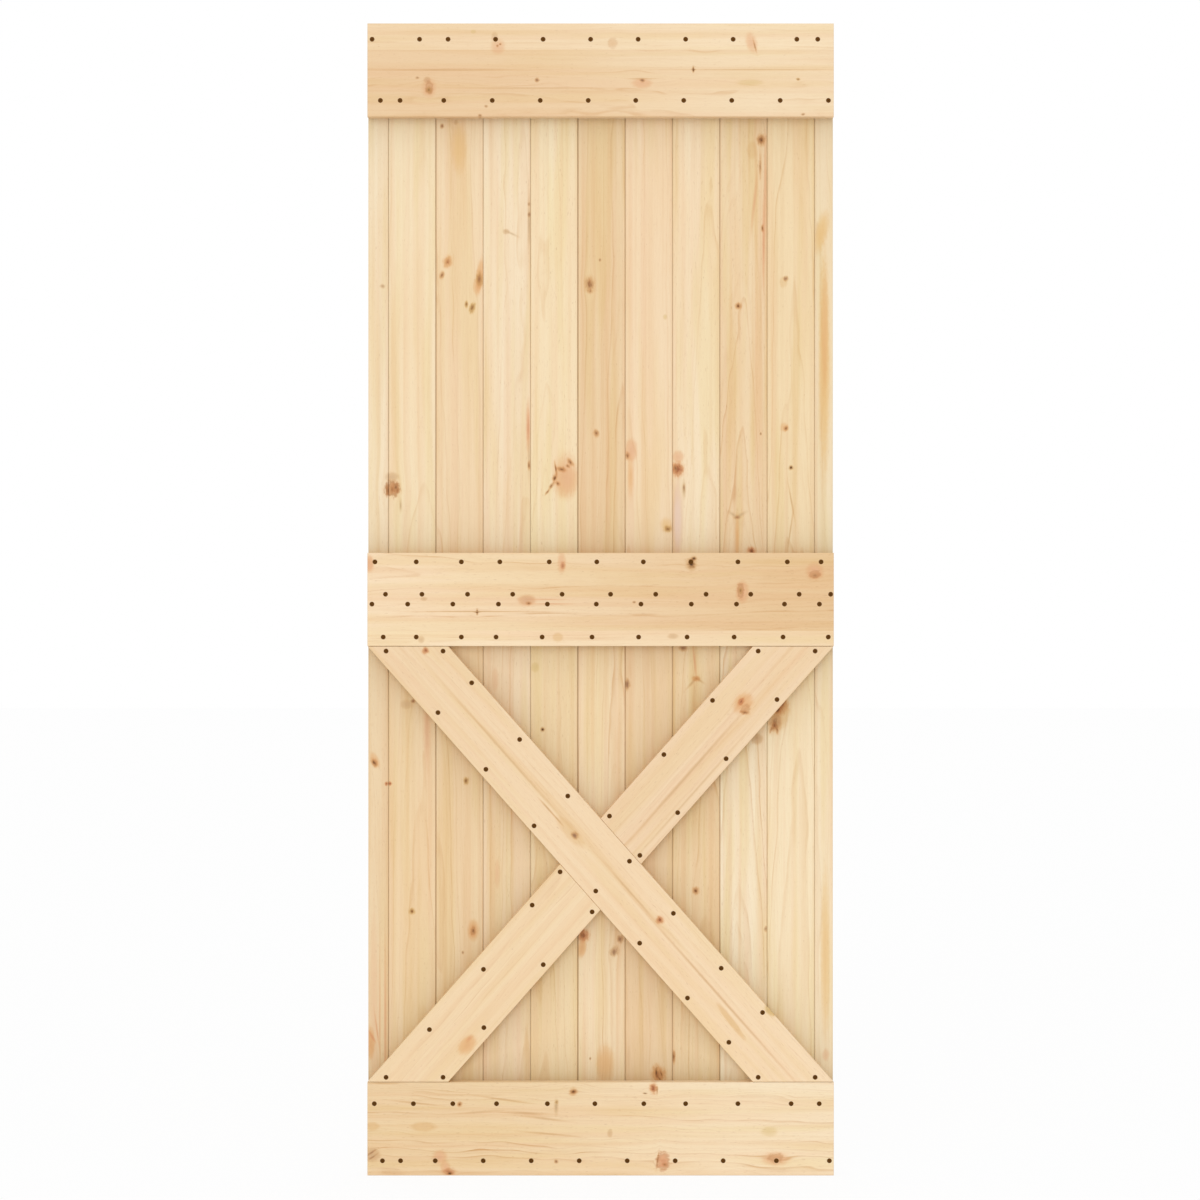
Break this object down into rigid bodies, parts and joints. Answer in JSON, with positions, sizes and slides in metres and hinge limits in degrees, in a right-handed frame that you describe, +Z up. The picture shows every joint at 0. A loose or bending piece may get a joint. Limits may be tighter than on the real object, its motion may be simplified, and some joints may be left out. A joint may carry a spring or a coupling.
{
  "type": "sliding door",
  "caption": "Leaf of a sliding door: matched upright boards with three rails and a cross of braces screwed on the front.",
  "frame": {"origin": "middle of the top rail's front face, where the strap hangers of a sliding track bolt on", "axes": "+X to the right seen from the front, +Z up, and the front faces -Y"},
  "size_m": [0.85, 0.038, 2.1],
  "materials": {
    "board_pine": "planed and sanded, unfinished",
    "rail_pine": "planed and sanded, unfinished",
    "screw_steel": "dark bronze coating"
  },
  "bodies": {
    "root": {"board_1": "board_pine", "board_2": "board_pine", "board_3": "board_pine", "board_4": "board_pine", "board_5": "board_pine", "board_6": "board_pine", "board_7": "board_pine", "board_8": "board_pine", "board_9": "board_pine", "board_10": "board_pine", "board_11": "board_pine", "top_rail": "rail_pine", "middle_rail": "rail_pine", "bottom_rail": "rail_pine", "long_brace": "rail_pine", "upper_brace": "rail_pine", "lower_brace": "rail_pine"}
  },
  "joints": []
}
